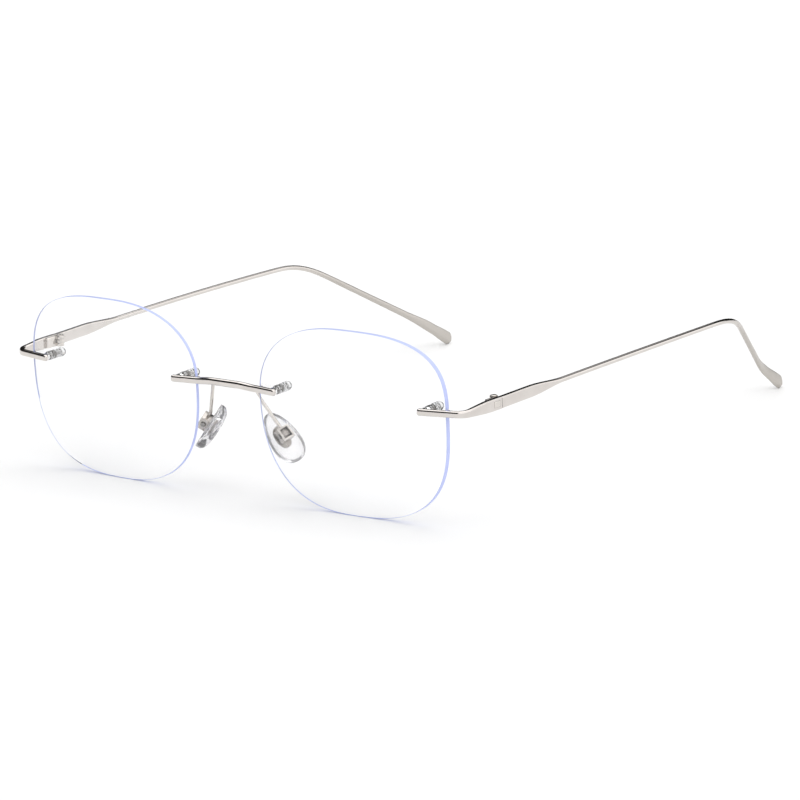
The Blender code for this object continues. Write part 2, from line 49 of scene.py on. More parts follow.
SIDES = {"left": 1, "right": -1}
UP = Vector((0, 0, 1))
WORLD_AXES = (Vector((1, 0, 0)), Vector((0, 1, 0)), UP)
SMOOTH_BELOW, BEVEL_ABOVE = math.radians(38), math.radians(40)
ROUND_POINTS = 48

# Lens
LENS_CENTRE = Vector((33.5, -78.25, 25.29))
LENS_NASAL, LENS_TEMPORAL = 24.3, 26.2
LENS_TOP, LENS_BOTTOM = 17.4, 25.35
SQUARE_TOP_NASAL, SQUARE_TOP_TEMPORAL = 2.30, 2.90
SQUARE_BOTTOM_NASAL, SQUARE_BOTTOM_TEMPORAL = 2.50, 2.85
LENS_RADIUS = 123.5
LENS_THICKNESS, NASAL_THICKNESS = 1.3, 0.85
LENS_CHAMFER = 0.1
LENS_TILT = math.radians(1.2)
LENS_WRAP = math.radians(1.5)
LENS_POINTS, LENS_RINGS = 320, 16
CUT_REACH = 2.0

# Bars on the lenses' front
BAR_HEIGHT = 1.3
BAR_GAP = 0.25
BAR_HALF_THICK, BAR_HALF_TALL = 0.62, 0.78
BAR_END_ROUND = 0.6
BAR_SQUARENESS = 3.0
BAR_BEND_RADIUS = 4.0
BRIDGE_END, BRIDGE_EDGE = -18.5, -24.0
BRIDGE_SHOULDER, BRIDGE_SHOULDER_BACK = 7.6, 0.25
BRIDGE_ARCH_HALF, BRIDGE_ARCH_RISE = 4.2, 0.35
BRIDGE_RADIUS = 5.0
ARCH_HALF_TALL, ARCH_SQUARENESS, ARCH_FROM, ARCH_FULL = 0.84, 2.5, 6.0, 10.0
BAR_POINTS = 48

# What passes through each lens
NASAL_HOLE, TEMPORAL_HOLE = -19.8, 21.3
NASAL_PEG, TEMPORAL_PEG = -24.05, 26.0
HOLE_RADIUS, NOTCH_RADIUS, NOTCH_REACH = 0.88, 0.56, 3.0
STUD_RADIUS, STUD_START, STUD_END = 0.46, -0.12, 5.6
THREAD_PITCH, THREAD_DEEP, THREAD_STEPS = 0.3, 0.07, 140
BORE_RADIUS = 0.56
BUSHING_NECK, BUSHING_FRONT, BUSHING_NECK_ROUND = 0.78, 0.2, 0.05
BUSHING_FLANGE, BUSHING_BACK, FLANGE_GAP = 1.05, 2.6, 0.26
NUT_FRONT, NUT_BACK, NUT_RADIUS = 2.66, 3.36, 1.02
NUT_GROOVES, NUT_GROOVE_DEEP = 12, 0.06
CAP_FRONT, CAP_BACK, CAP_RADIUS, CAP_DOME = 3.42, 6.8, 1.1, 0.6
CAP_RIBS, CAP_WAIST, CAP_RIB_STEPS = 3, 0.86, 12
EDGE_ROUND = 0.09
STACK_POINTS = 72

# End piece
END_BAR_INNER, END_BAR_OUTER = 19.9, 27.0
CORNER_X, CORNER_BACK, CORNER_RADIUS = 64.2, 3.65, 2.6
HINGE_X, HINGE_BACK, HINGE_Z = 64.5, 17.0, 26.8
JOINT_GAP = 0.06
BLADE_HALF_THICK, BLADE_HALF_TALL, BLADE_SQUARENESS = 0.62, 1.32, 8.0
END_BLADE_EXTRA, END_BLADE_FROM, END_BLADE_FULL = 0.06, 9.0, 3.0

# Hinge
KNUCKLE_RADIUS, KNUCKLE_HALF_STACK, KNUCKLE_HALF_MIDDLE = 0.95, 1.25, 0.42
KNUCKLE_CLEARANCE, KNUCKLE_CLEARANCE_ALONG, KNUCKLE_SLIT = 0.12, 0.15, 0.05
BORE_REACH = 3.0
HINGE_BORE, HINGE_SCREW_RADIUS, HINGE_SCREW_BELOW, HINGE_SCREW_EXTRA = 0.5, 0.42, 0.1, 0.16
HINGE_HEAD_RADIUS, HINGE_HEAD_TALL, HINGE_SLOT_DIRECTION = 0.78, 0.24, Vector((0.8, 0.6, 0))
LEAF_LONG, TEMPLE_LEAF_LONG, LEAF_THICK, LEAF_GAP = 3.9, 2.6, 0.6, 0.08
LEAF_ROOT, LEAF_STEPS = 0.25, 36
TAB_NEAR, TAB_FAR, TAB_HALF_TALL, TAB_ROOT = 0.75, 2.95, 0.68, 0.4
SLOT_GAP = 0.018
SMALL_BEVEL = 0.035

# Temple
BEND_X, BEND_BACK, BEND_Z = 65.1, 112.5, 27.7
BOW_OUT, BOW_UP, BOW_STEPS = 0.76, 0.46, 10
BEND_RADIUS, FLARE_RADIUS = 23.0, 26.0
DROP_DIRECTION = Vector((-0.33, 0.8, -0.49)).normalized()
TIP_DIRECTION = Vector((-0.05, 0.86, -0.517)).normalized()
DROP_LENGTH, TIP_LENGTH = 41.8, 12.3
BLADE_LENGTH, TAPER_LENGTH, WIRE_RADIUS = 12.6, 10.5, 0.61
# Distances from the tip's end
WIRE_END, FLAT_START, FLAT_HALF, PADDLE_START, PADDLE_FULL = 55.0, 36.0, 20.0, 9.0, 2.2
PADDLE_HALF_THICK, PADDLE_HALF_WIDE, PADDLE_END_ROUND = 0.5, 1.62, 1.6
# Where the ridge lies across the paddle, how much it falls away, and its start's distance from the tip's end
RIDGE_PLACE, RIDGE_FALL, RIDGE_START = -0.33, 0.62, 17.0

# Nose pad
PAD_CENTRE = Vector((10.5, LENS_CENTRE.y + 8.3, 14.3))
PAD_LONG = Vector((0.63, 0.06, -0.774)).normalized()
PAD_SPLAY = math.radians(30)
PAD_HALF_LONG, PAD_HALF_WIDE, PAD_EGG = 6.4, 3.6, 0.24
PAD_DROP = 0.2
PAD_THICK, PAD_RIM, PAD_POINTS, PAD_STEPS = 2.1, 0.7, 120, 12
INSERT_HALF_LONG, INSERT_HALF_WIDE, INSERT_THICK, POCKET_GAP = 2.7, 1.75, 0.5, 0.12
TAB_HALF_WIDE, TAB_HALF_LONG, TAB_TOP, TAB_SUNK, TAB_BEVEL = 0.8, 0.6, 2.4, 0.1, 0.04
BOX_HALF_WIDE, BOX_HALF_LONG, BOX_WALL = 1.5, 1.6, 0.45
BOX_LOW, BOX_HIGH, BOX_BEVEL = 0.6, 2.9, 0.09
BOX_MIDDLE = (BOX_LOW + BOX_HIGH) / 2
ROCK_HEIGHT = 1.75
PAD_SCREW_RADIUS, PAD_SCREW_BORE, PAD_SCREW_EXTRA = 0.32, 0.42, 0.06
PAD_HEAD_RADIUS, PAD_HEAD_TALL = 0.62, 0.3
ARM_RADIUS, ARM_CORNER_RADIUS, ARM_GAP, ARM_STRAIGHT = 0.4, 0.9, 0.06, 1.4
ARM_START_ROUND, ARM_END_ROUND, ARM_POINTS = 0.3, 0.12, 32
ARM_START = Vector((5.9, LENS_CENTRE.y + 2.9, 26.4))
ARM_TURN = Vector((6.1, LENS_CENTRE.y + 4.1, 25.6))

# Camera
CAMERA_AIM = Vector((31.2, -53.473, 21.745))
CAMERA_AZIMUTH, CAMERA_ELEVATION, CAMERA_ROLL = 36.893, 13.353, -1.684
CAMERA_DISTANCE, CAMERA_LENS, SENSOR = 972.0, 193.8, 36.0
CLIP_START, CLIP_END = 0.05, 30.0

# Floor and light, in metres and the world's own units
FLOOR_RADIUS, FLOOR_DROP = 4.0, 0.00002
DOME_STRENGTH, DOME_SEEN = 1.38, 0.76
# The dome's brightness over the height of the direction, from the horizon to straight up
DOME_LEVELS = ((0.0, 0.012), (0.63, 0.012), (0.70, 1.0), (0.85, 1.0), (1.0, 1.1))
BAND_FADES_FROM, BAND_ENDS = 0.3, 0.45
KEY_SIZE, KEY_ENERGY, KEY_PLACE = 2.0, 4.5, (-0.3, 0.45, 1.2)

# Colours and roughness that more than one material shares
PLATE_LIGHT, PLATE_DARK = (0.70, 0.66, 0.63), (0.65, 0.61, 0.58)
PLATE_SMOOTH, PLATE_ROUGH = 0.04, 0.09
WHITE = (1.0, 1.0, 1.0)

# Places along the temple, in metres, where the ear has begun to wear it matt and where it is fully worn
WORN_FROM, WORN_FULL = 0.026, 0.044


# Materials


def colour_mix(tree, share, first, second):
    """A node that mixes two colours by a share. The first is a colour or a socket."""
    mix = tree.nodes.new("ShaderNodeMix")
    mix.data_type = "RGBA"
    tree.links.new(share, mix.inputs["Factor"])
    if isinstance(first, tuple):
        mix.inputs[6].default_value = (*first, 1)
    else:
        tree.links.new(first, mix.inputs[6])
    mix.inputs[7].default_value = (*second, 1)
    return mix.outputs[2]


class Look:
    """A node material with its Principled shader, and short ways to add nodes and links."""

    def __init__(self, name):
        self.material = bpy.data.materials.new(name)
        self.material.use_nodes = True
        self.tree = self.material.node_tree
        self.shader = self.tree.nodes["Principled BSDF"]
        self.output = self.tree.nodes["Material Output"]
        self.place = self.add("ShaderNodeTexCoord").outputs["Object"]

    def add(self, kind, **values):
        node = self.tree.nodes.new(kind)
        for key, value in values.items():
            node.inputs[key.replace("_", " ")].default_value = value
        return node

    def link(self, source, target):
        self.tree.links.new(source, target)

    def set(self, **values):
        for key, value in values.items():
            self.shader.inputs[key.replace("_", " ")].default_value = value

    def noise(self, size, stretch=(1, 1, 1), detail=3.0):
        """Noise whose features are about this many millimetres across, drawn out along the axes."""
        mapping = self.add("ShaderNodeMapping")
        mapping.inputs["Scale"].default_value = [1 / (size * MM * s) for s in stretch]
        self.link(self.place, mapping.inputs["Vector"])
        noise = self.add("ShaderNodeTexNoise", Scale=1.0, Detail=detail)
        self.link(mapping.outputs["Vector"], noise.inputs["Vector"])
        return noise.outputs["Fac"]

    def spread(self, source, low, high, start=0.3, end=0.7):
        """The source's range mapped onto low to high."""
        ranged = self.add("ShaderNodeMapRange")
        for k, value in enumerate((start, end, low, high)):
            ranged.inputs[k + 1].default_value = value
        self.link(source, ranged.inputs["Value"])
        return ranged.outputs["Result"]

    def total(self, first, second):
        """The sum of two sources."""
        node = self.tree.nodes.new("ShaderNodeMath")
        self.link(first, node.inputs[0])
        self.link(second, node.inputs[1])
        return node.outputs[0]

    def blend(self, share, first, second):
        """Two colours mixed by a share. The first is a colour or another node's colour output."""
        return colour_mix(self.tree, share, first, second)

    def colour(self, share, first, second):
        """Links the mix of two colours to the shader's base colour."""
        self.link(self.blend(share, first, second), self.shader.inputs["Base Color"])

    def rough(self, source):
        self.link(source, self.shader.inputs["Roughness"])

    def bump(self, heights, distance):
        """Relief on the shader's normal: each source stands up to distance millimetres at its strength."""
        normal = None
        for source, strength in heights:
            node = self.add("ShaderNodeBump", Strength=strength, Distance=distance * MM)
            self.link(source, node.inputs["Height"])
            if normal:
                self.link(normal, node.inputs["Normal"])
            normal = node.outputs["Normal"]
        self.link(normal, self.shader.inputs["Normal"])

    def clear_shadow(self, tint):
        """Lets tinted light through to what is behind, so that a clear piece casts only a faint shadow."""
        path = self.add("ShaderNodeLightPath").outputs["Is Shadow Ray"]
        clear = self.add("ShaderNodeBsdfTransparent", Color=(*tint, 1))
        mix = self.add("ShaderNodeMixShader")
        self.link(path, mix.inputs[0])
        self.link(self.shader.outputs[0], mix.inputs[1])
        self.link(clear.outputs[0], mix.inputs[2])
        self.link(mix.outputs[0], self.output.inputs["Surface"])


def polish(look):
    """Fine polishing lines along Y over a light orange peel. Returns the lines."""
    lines = look.noise(0.16, stretch=(1, 14, 1))
    look.bump([(look.noise(0.5), 0.12), (lines, 0.06)], 0.012)
    return lines


def metal(name, light, dark, smooth, rough):
    """Polished plate with a slow change of tone, and rougher where it is worn."""
    look = Look(name)
    look.set(Metallic=1.0)
    tone = look.spread(look.noise(3.5), 0, 1)
    look.colour(tone, light, dark)
    wear = look.noise(2.2, detail=5.0)
    lines = look.spread(polish(look), -0.02, 0.03)
    look.rough(look.total(look.spread(wear, smooth, rough), lines))
    return look.material


def temple_metal():
    """The same plate, which turns darker and matt towards the tip, where the ear wears it."""
    look = Look("temple_plate")
    look.set(Metallic=1.0)
    parts = look.add("ShaderNodeSeparateXYZ")
    look.link(look.place, parts.inputs[0])
    worn = look.spread(parts.outputs["Y"], 0.0, 1.0, start=WORN_FROM, end=WORN_FULL)
    tone = look.blend(look.spread(look.noise(3.5), 0, 1), PLATE_LIGHT, PLATE_DARK)
    look.colour(worn, tone, (0.52, 0.49, 0.455))
    matt = look.spread(worn, 0.0, 0.32, start=0.0, end=1.0)
    wear = look.spread(look.noise(2.0, detail=5.0), PLATE_SMOOTH, PLATE_ROUGH)
    look.rough(look.total(wear, matt))
    polish(look)
    return look.material


def lens_face():
    """Clear coated glass with the faintest smudges."""
    look = Look("lens_clear")
    look.set(Transmission_Weight=1.0, IOR=1.5)
    smudge = look.noise(9.0, detail=6.0)
    look.rough(look.spread(smudge, 0.0, 0.012, start=0.45, end=0.8))
    look.colour(look.spread(look.noise(14.0), 0, 1), WHITE, (0.992, 0.995, 1.0))
    look.bump([(look.noise(5.0), 0.02)], 0.01)
    look.clear_shadow((0.93, 0.935, 0.95))
    return look.material


def lens_bore():
    """The drilled walls, clear but less finely polished than the faces."""
    look = Look("lens_bore")
    look.set(Transmission_Weight=1.0, IOR=1.5)
    look.rough(look.spread(look.noise(0.2), 0.06, 0.16))
    look.colour(look.noise(0.4), (0.97, 0.97, 0.99), (0.90, 0.91, 0.95))
    look.bump([(look.noise(0.15), 0.15)], 0.01)
    look.clear_shadow((0.93, 0.93, 0.95))
    return look.material


def lens_edge():
    """The ground edge, a periwinkle blue with a frosted grain."""
    look = Look("lens_edge_ground")
    look.set(Specular_IOR_Level=0.3)
    tone = look.spread(look.noise(2.6, detail=4.0), 0, 1)
    look.colour(tone, (0.47, 0.53, 0.85), (0.51, 0.57, 0.89))
    grain = look.noise(0.12)
    look.rough(look.spread(grain, 0.38, 0.55))
    look.bump([(grain, 0.25)], 0.01)
    look.clear_shadow((0.72, 0.74, 0.82))
    return look.material


def clear_plastic():
    """Clear moulded plastic with painted shade: its colour greys where the surface turns away, standing in
    for dark surroundings seen in its edges.
    """
    look = Look("plastic_clear")
    look.set(Transmission_Weight=1.0, IOR=1.46)
    # Painted shade: the colour turns grey at grazing angles, drawing dark outlines that the lighting does
    # not cast.
    painted_edge_shade = look.add("ShaderNodeLayerWeight", Blend=0.45).outputs["Facing"]
    look.colour(painted_edge_shade, (0.95, 0.95, 0.95), (0.50, 0.51, 0.52))
    look.rough(look.spread(look.noise(0.6, detail=4.0), 0.02, 0.09))
    look.bump([(look.noise(0.25), 0.15)], 0.01)
    look.clear_shadow((0.9, 0.9, 0.9))
    return look.material


def silicone():
    """Soft clear silicone with a slightly cloudy body, a fine moulded texture and painted shade: its colour
    greys at the rim where the surface turns away.
    """
    look = Look("silicone_clear")
    look.set(Transmission_Weight=0.9, IOR=1.41)
    # Painted shade: the colour greys at grazing angles, drawing the pad's dark outlines.
    painted_edge_shade = look.add("ShaderNodeLayerWeight", Blend=0.42).outputs["Facing"]
    look.colour(painted_edge_shade, (0.93, 0.925, 0.93), (0.54, 0.53, 0.56))
    look.rough(look.spread(look.noise(1.4, detail=4.0), 0.05, 0.16))
    look.bump([(look.noise(0.4), 0.1)], 0.015)
    look.clear_shadow((0.93, 0.93, 0.93))
    return look.material


SILVER = metal("plate_silver", PLATE_LIGHT, PLATE_DARK, PLATE_SMOOTH, PLATE_ROUGH)
SMALL_SILVER = metal("plate_silver_small", (0.72, 0.68, 0.64), (0.64, 0.60, 0.56), 0.08, 0.16)
PAD_SILVER = metal("plate_silver_pad", (0.58, 0.55, 0.52), (0.48, 0.45, 0.42), 0.1, 0.22)
INSERT_STEEL = metal("insert_steel", (0.36, 0.33, 0.31), (0.26, 0.24, 0.22), 0.2, 0.34)
STEEL = metal("stud_steel", (0.48, 0.46, 0.45), (0.36, 0.35, 0.34), 0.2, 0.32)
NUT_STEEL = metal("nut_steel", (0.20, 0.19, 0.18), (0.12, 0.115, 0.11), 0.24, 0.36)
TEMPLE_PLATE = temple_metal()
LENS_FACE, LENS_BORE, LENS_EDGE = lens_face(), lens_bore(), lens_edge()
PLASTIC, SILICONE = clear_plastic(), silicone()


# Making pieces


def raw_object(name, bm, materials, side):
    """Turns a bmesh in millimetres, built for the left side, into an object in metres."""
    bmesh.ops.scale(bm, vec=(side * MM, MM, MM), verts=bm.verts)
    bmesh.ops.recalc_face_normals(bm, faces=bm.faces)
    mesh = bpy.data.meshes.new(name)
    bm.to_mesh(mesh)
    bm.free()
    for material in materials:
        mesh.materials.append(material)
    obj = bpy.data.objects.new(name, mesh)
    bpy.context.scene.collection.objects.link(obj)
    return obj


def new_piece(node, bm, materials, body, side=1, joins=(), cuts=(), bevel=0.0, cut_look=None):
    """A finished piece that stands for a CAD node: joined with shapes, cut by others, its edges bevelled."""
    obj = raw_object(f"fine_{node}", bm, materials, side)
    tools = []
    for operation, shapes in (("UNION", joins), ("DIFFERENCE", cuts)):
        for shape in shapes:
            tool = raw_object("tool", shape, [cut_look or materials[0]], side)
            tools.append(tool)
            boolean = obj.modifiers.new(operation, "BOOLEAN")
            boolean.operation = operation
            boolean.solver = "EXACT"
            boolean.material_mode = "TRANSFER"
            boolean.object = tool
    if bevel:
        rounding = obj.modifiers.new("bevel", "BEVEL")
        rounding.width = bevel * MM
        rounding.segments = 2
        rounding.limit_method = "ANGLE"
        rounding.angle_limit = BEVEL_ABOVE
    if obj.modifiers:
        evaluated = obj.evaluated_get(bpy.context.evaluated_depsgraph_get())
        settled = bpy.data.meshes.new_from_object(evaluated)
        obj.modifiers.clear()
        obj.data = settled
    for tool in tools:
        bpy.data.objects.remove(tool)
    obj.data.shade_smooth()
    obj.data.set_sharp_from_angle(angle=SMOOTH_BELOW)
    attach(obj, body)
    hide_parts(node)
    return obj


def loft(rings, closed=False, inner=()):
    """A solid through rings of points. The bands whose numbers are in inner take the second material."""
    bm = bmesh.new()
    loops = [[bm.verts.new(point) for point in ring] for ring in rings]
    pairs = list(zip(loops, loops[1:]))
    if closed:
        pairs.append((loops[-1], loops[0]))
    else:
        bm.faces.new(reversed(loops[0]))
        bm.faces.new(loops[-1])
    for number, (first, second) in enumerate(pairs):
        for k in range(len(first)):
            after = (k + 1) % len(first)
            face = bm.faces.new((first[k], first[after], second[after], second[k]))
            face.material_index = 1 if number in inner else 0
    return bm


def superellipse(angle, square):
    """The point at this angle on |x|^square + |y|^square = 1."""
    c, s = math.cos(angle), math.sin(angle)
    reach = (abs(c) ** square + abs(s) ** square) ** (-1 / square)
    return c * reach, s * reach


def bar_section(angle, square):
    """A point on the same kind of outline, with the points closer together where it turns."""
    c, s = math.cos(angle), math.sin(angle)
    return math.copysign(abs(c) ** (2 / square), c), math.copysign(abs(s) ** (2 / square), s)


def turns(count, offset=0.0):
    """This many angles, evenly round a full turn."""
    return [2 * math.pi * (k + offset) / count for k in range(count)]


def rounded_path(corners, radii, steps):
    """The line through the corners, each inner corner rounded to its radius. Radius 0 keeps it sharp."""
    points = [corners[0]]
    for before, corner, after, radius in zip(corners, corners[1:], corners[2:], radii):
        if radius == 0:
            points.append(corner)
            continue
        arrive = (corner - before).normalized()
        leave = (after - corner).normalized()
        turn = arrive.angle(leave)
        start = corner - arrive * radius * math.tan(turn / 2)
        axis = arrive.cross(leave).normalized()
        centre = start + axis.cross(arrive) * radius
        for k in range(steps + 1):
            points.append(centre + Matrix.Rotation(turn * k / steps, 3, axis) @ (start - centre))
    points.append(corners[-1])
    return points


def distances(path):
    """How far along the path each of its points is."""
    total, found = 0.0, [0.0]
    for first, second in zip(path, path[1:]):
        total += (second - first).length
        found.append(total)
    return found


def even(path, spacing, passes):
    """The same line with its points evenly spaced and its small kinks smoothed out."""
    marks = distances(path)
    count = max(2, round(marks[-1] / spacing))
    points = []
    for k in range(count + 1):
        distance = marks[-1] * k / count
        after = min(max(bisect.bisect_right(marks, distance), 1), len(marks) - 1)
        share = (distance - marks[after - 1]) / (marks[after] - marks[after - 1])
        points.append(path[after - 1].lerp(path[after], share))
    for _ in range(passes):
        middle = [(a + 2 * b + c) / 4 for a, b, c in zip(points, points[1:], points[2:])]
        points = [points[0]] + middle + [points[-1]]
    return points


def between(table, distance):
    """The row of values at a distance, blended smoothly between the table's stations."""
    for (start, *low), (end, *high) in zip(table, table[1:]):
        if distance <= end:
            share = (distance - start) / (end - start)
            share = share * share * (3 - 2 * share)
            return [a + (b - a) * share for a, b in zip(low, high)]
    return list(table[-1][1:])


def drawn_in(distance, radius):
    """How far a rounded end has drawn in the outline at this distance from it."""
    if distance >= radius:
        return 0.0
    return radius - math.sqrt(radius**2 - (radius - distance) ** 2)


def ridged(x, y, share):
    """Thins a section away from a ridge that runs along it."""
    if y > RIDGE_PLACE:
        lean = (y - RIDGE_PLACE) / (1 - RIDGE_PLACE)
    else:
        lean = (RIDGE_PLACE - y) / (1 + RIDGE_PLACE)
    return x * (1 - share * RIDGE_FALL * lean)


def sweep(path, stations, count, start_round, end_round, upright=UP, end_plan=0.0, ridge=None):
    """A bar along the path. A station is (distance, half thickness, half height, squareness).

    end_plan rounds the far end's outline more than its thickness. ridge is where a ridge starts and where it
    is full.
    """
    marks = distances(path)
    length = marks[-1]
    last_round = max(end_round, end_plan)
    spots = [mark for mark in marks if start_round < mark < length - last_round]
    steps = 8
    for k in range(1, steps + 1):
        reach = 1 - math.cos(math.pi / 2 * k / steps)
        spots += [start_round * reach, length - last_round * reach]
    rings = []
    for distance in sorted(set(spots)):
        k = min(max(bisect.bisect_right(marks, distance), 1), len(marks) - 1)
        share = (distance - marks[k - 1]) / (marks[k] - marks[k - 1])
        before = path[k] - path[max(k - 2, 0)]
        after = path[min(k + 1, len(path) - 1)] - path[k - 1]
        tangent = before.normalized().lerp(after.normalized(), share).normalized()
        centre = path[k - 1].lerp(path[k], share)
        tall = (upright - tangent * upright.dot(tangent)).normalized()
        across = tangent.cross(tall)
        half_thick, half_tall, square = between(stations, distance)
        left = length - distance
        half_thick -= drawn_in(distance, start_round) + drawn_in(left, end_round)
        half_tall -= drawn_in(distance, start_round) + drawn_in(left, end_plan or end_round)
        ridge_share = min(max((distance - ridge[0]) / (ridge[1] - ridge[0]), 0), 1) if ridge else 0
        ring = []
        for angle in turns(count, 0.5):
            x, y = bar_section(angle, square)
            x = ridged(x, y, ridge_share)
            ring.append(centre + across * half_thick * x + tall * half_tall * y)
        rings.append(ring)
    return loft(rings)


def block(centre, axes, halves):
    """A box with its half sizes along three axes."""
    bm = bmesh.new()
    bmesh.ops.create_cube(bm, size=2)
    turn = Matrix([axis * half for axis, half in zip(axes, halves)]).transposed()
    for vert in bm.verts:
        vert.co = centre + turn @ vert.co
    return bm


def lathe(start, along, profile):
    """A round piece: the profile is (distance along, radius)."""
    along = along.normalized()
    first = along.orthogonal().normalized()
    second = along.cross(first)
    rings = []
    for distance, radius in profile:
        centre = start + along * distance
        ring = []
        for angle in turns(ROUND_POINTS):
            ring.append(centre + (first * math.cos(angle) + second * math.sin(angle)) * radius)
        rings.append(ring)
    return loft(rings)


def rod(start, end, radius):
    return lathe(start, end - start, [(0, radius), ((end - start).length, radius)])


def corner(place, radius, inset):
    """Profile points round an outer corner.

    The inset is positive at a piece's front and negative at its back.
    """
    sign = 1 if inset > 0 else -1
    size = abs(inset)
    steps = 4
    points = []
    for k in range(steps + 1):
        angle = math.pi / 2 * k / steps
        points.append((place + sign * size * (1 - math.sin(angle)), radius - size * (1 - math.cos(angle))))
    return points[::-1] if sign > 0 else points


# Lens and what goes through it


def lens_place(u, depth, v):
    """A point from the lens's own frame: u to the temple, depth behind the front vertex, v up."""
    turn = Matrix.Rotation(LENS_WRAP, 3, "Z") @ Matrix.Rotation(LENS_TILT, 3, "X")
    return LENS_CENTRE + turn @ Vector((u, depth, v))


def sag(u, v):
    """How far the lens's front face has curved back at this place."""
    return LENS_RADIUS - math.sqrt(LENS_RADIUS**2 - u * u - v * v)


def on_lens(u, v, depth):
    """A point this far behind the lens's front face."""
    return lens_place(u, sag(u, v) + depth, v)


def lens_thickness(u):
    """The lens thins evenly from its temporal edge to its nasal edge."""
    share = (LENS_TEMPORAL - u) / (LENS_TEMPORAL + LENS_NASAL)
    return LENS_THICKNESS + (NASAL_THICKNESS - LENS_THICKNESS) * share


def lens_outline(angle):
    """The rim's place at this angle: a superellipse whose squareness differs in each quarter."""
    temporal, top = math.cos(angle) >= 0, math.sin(angle) >= 0
    if top:
        square = SQUARE_TOP_TEMPORAL if temporal else SQUARE_TOP_NASAL
    else:
        square = SQUARE_BOTTOM_TEMPORAL if temporal else SQUARE_BOTTOM_NASAL
    x, y = superellipse(angle, square)
    return x * (LENS_TEMPORAL if temporal else LENS_NASAL), y * (LENS_TOP if top else LENS_BOTTOM)


def add_lens(name, side):
    outline = [lens_outline(angle) for angle in turns(LENS_POINTS)]
    rim = 1 - LENS_CHAMFER / LENS_TEMPORAL
    scales = [rim * (k + 0.3) / (LENS_RINGS - 0.7) for k in range(LENS_RINGS)]
    rings = [[on_lens(s * u, s * v, 0) for u, v in outline] for s in scales]
    rings.append([on_lens(u, v, LENS_CHAMFER) for u, v in outline])
    rings.append([on_lens(u, v, lens_thickness(u) - LENS_CHAMFER) for u, v in outline])
    rings += [[on_lens(s * u, s * v, lens_thickness(s * u)) for u, v in outline] for s in reversed(scales)]
    bands = range(LENS_RINGS - 1, LENS_RINGS + 2)
    through = (-CUT_REACH, LENS_THICKNESS + CUT_REACH)
    cuts = []
    for hole, peg, outward in ((NASAL_HOLE, NASAL_PEG, -1), (TEMPORAL_HOLE, TEMPORAL_PEG, 1)):
        cuts.append(turned([(depth, HOLE_RADIUS) for depth in through], hole))
        notch = []
        for angle in turns(STACK_POINTS):
            u = NOTCH_RADIUS * math.cos(angle)
            if u * outward > 0:
                u += NOTCH_REACH * outward
            notch.append((u, NOTCH_RADIUS * math.sin(angle)))
        tool = []
        for depth in through:
            base = sag(peg, BAR_HEIGHT) + depth
            tool.append([lens_place(peg + u, base, BAR_HEIGHT + v) for u, v in notch])
        cuts.append(loft(tool))
    bm = loft(rings, inner=bands)
    new_piece(
        f"lens_{name}", bm, [LENS_FACE, LENS_EDGE], "front", side,
        cuts=cuts, cut_look=LENS_BORE,
    )


def turned(profile, u, closed=False, shape=None):
    """A round piece along the hole's axis at u. The profile is (depth behind the lens's front, radius).

    shape(depth, radius, angle) changes the radius round the piece, as a thread or a knurl does.
    """
    base = sag(u, BAR_HEIGHT)
    rings = []
    for depth, radius in profile:
        ring = []
        for angle in turns(STACK_POINTS):
            reach = shape(depth, radius, angle) if shape else radius
            across, rise = reach * math.cos(angle), reach * math.sin(angle)
            ring.append(lens_place(u + across, base + depth, BAR_HEIGHT + rise))
        rings.append(ring)
    return loft(rings, closed)


def thread(depth, radius, angle):
    """A helical screw thread along the stud, left off its two ends."""
    if depth < STUD_START + THREAD_PITCH or depth > STUD_END - THREAD_PITCH:
        return radius - THREAD_DEEP
    phase = (depth / THREAD_PITCH - angle / (2 * math.pi)) % 1
    return radius - THREAD_DEEP * abs(2 * phase - 1)


def knurl(depth, radius, angle):
    """Grooves round the nut's outside, and none in its bore."""
    if radius < NUT_RADIUS - EDGE_ROUND:
        return radius
    return radius - NUT_GROOVE_DEEP * max(0.0, math.cos(NUT_GROOVES * angle)) ** 4


def cap_profile():
    """The bore from its floor to its mouth, then the ribbed outside and the domed end."""
    profile = [(STUD_END + 0.15, 0.6 * BORE_RADIUS), (STUD_END + 0.1, BORE_RADIUS)]
    profile.append((CAP_FRONT, BORE_RADIUS))
    profile += corner(CAP_FRONT, 0.93 * CAP_RADIUS, EDGE_ROUND)
    dome_start = CAP_BACK - CAP_DOME
    body = dome_start - CAP_FRONT
    steps = CAP_RIB_STEPS * CAP_RIBS
    for k in range(2, steps + 1):
        wave = 0.5 - 0.5 * math.cos(2 * math.pi * CAP_RIBS * k / steps)
        profile.append((CAP_FRONT + body * k / steps, CAP_RADIUS * (CAP_WAIST + (1 - CAP_WAIST) * wave)))
    for k in range(1, 9):
        angle = math.pi / 2 * k / 9
        profile.append((dome_start + CAP_DOME * math.sin(angle), CAP_WAIST * CAP_RADIUS * math.cos(angle)))
    return profile


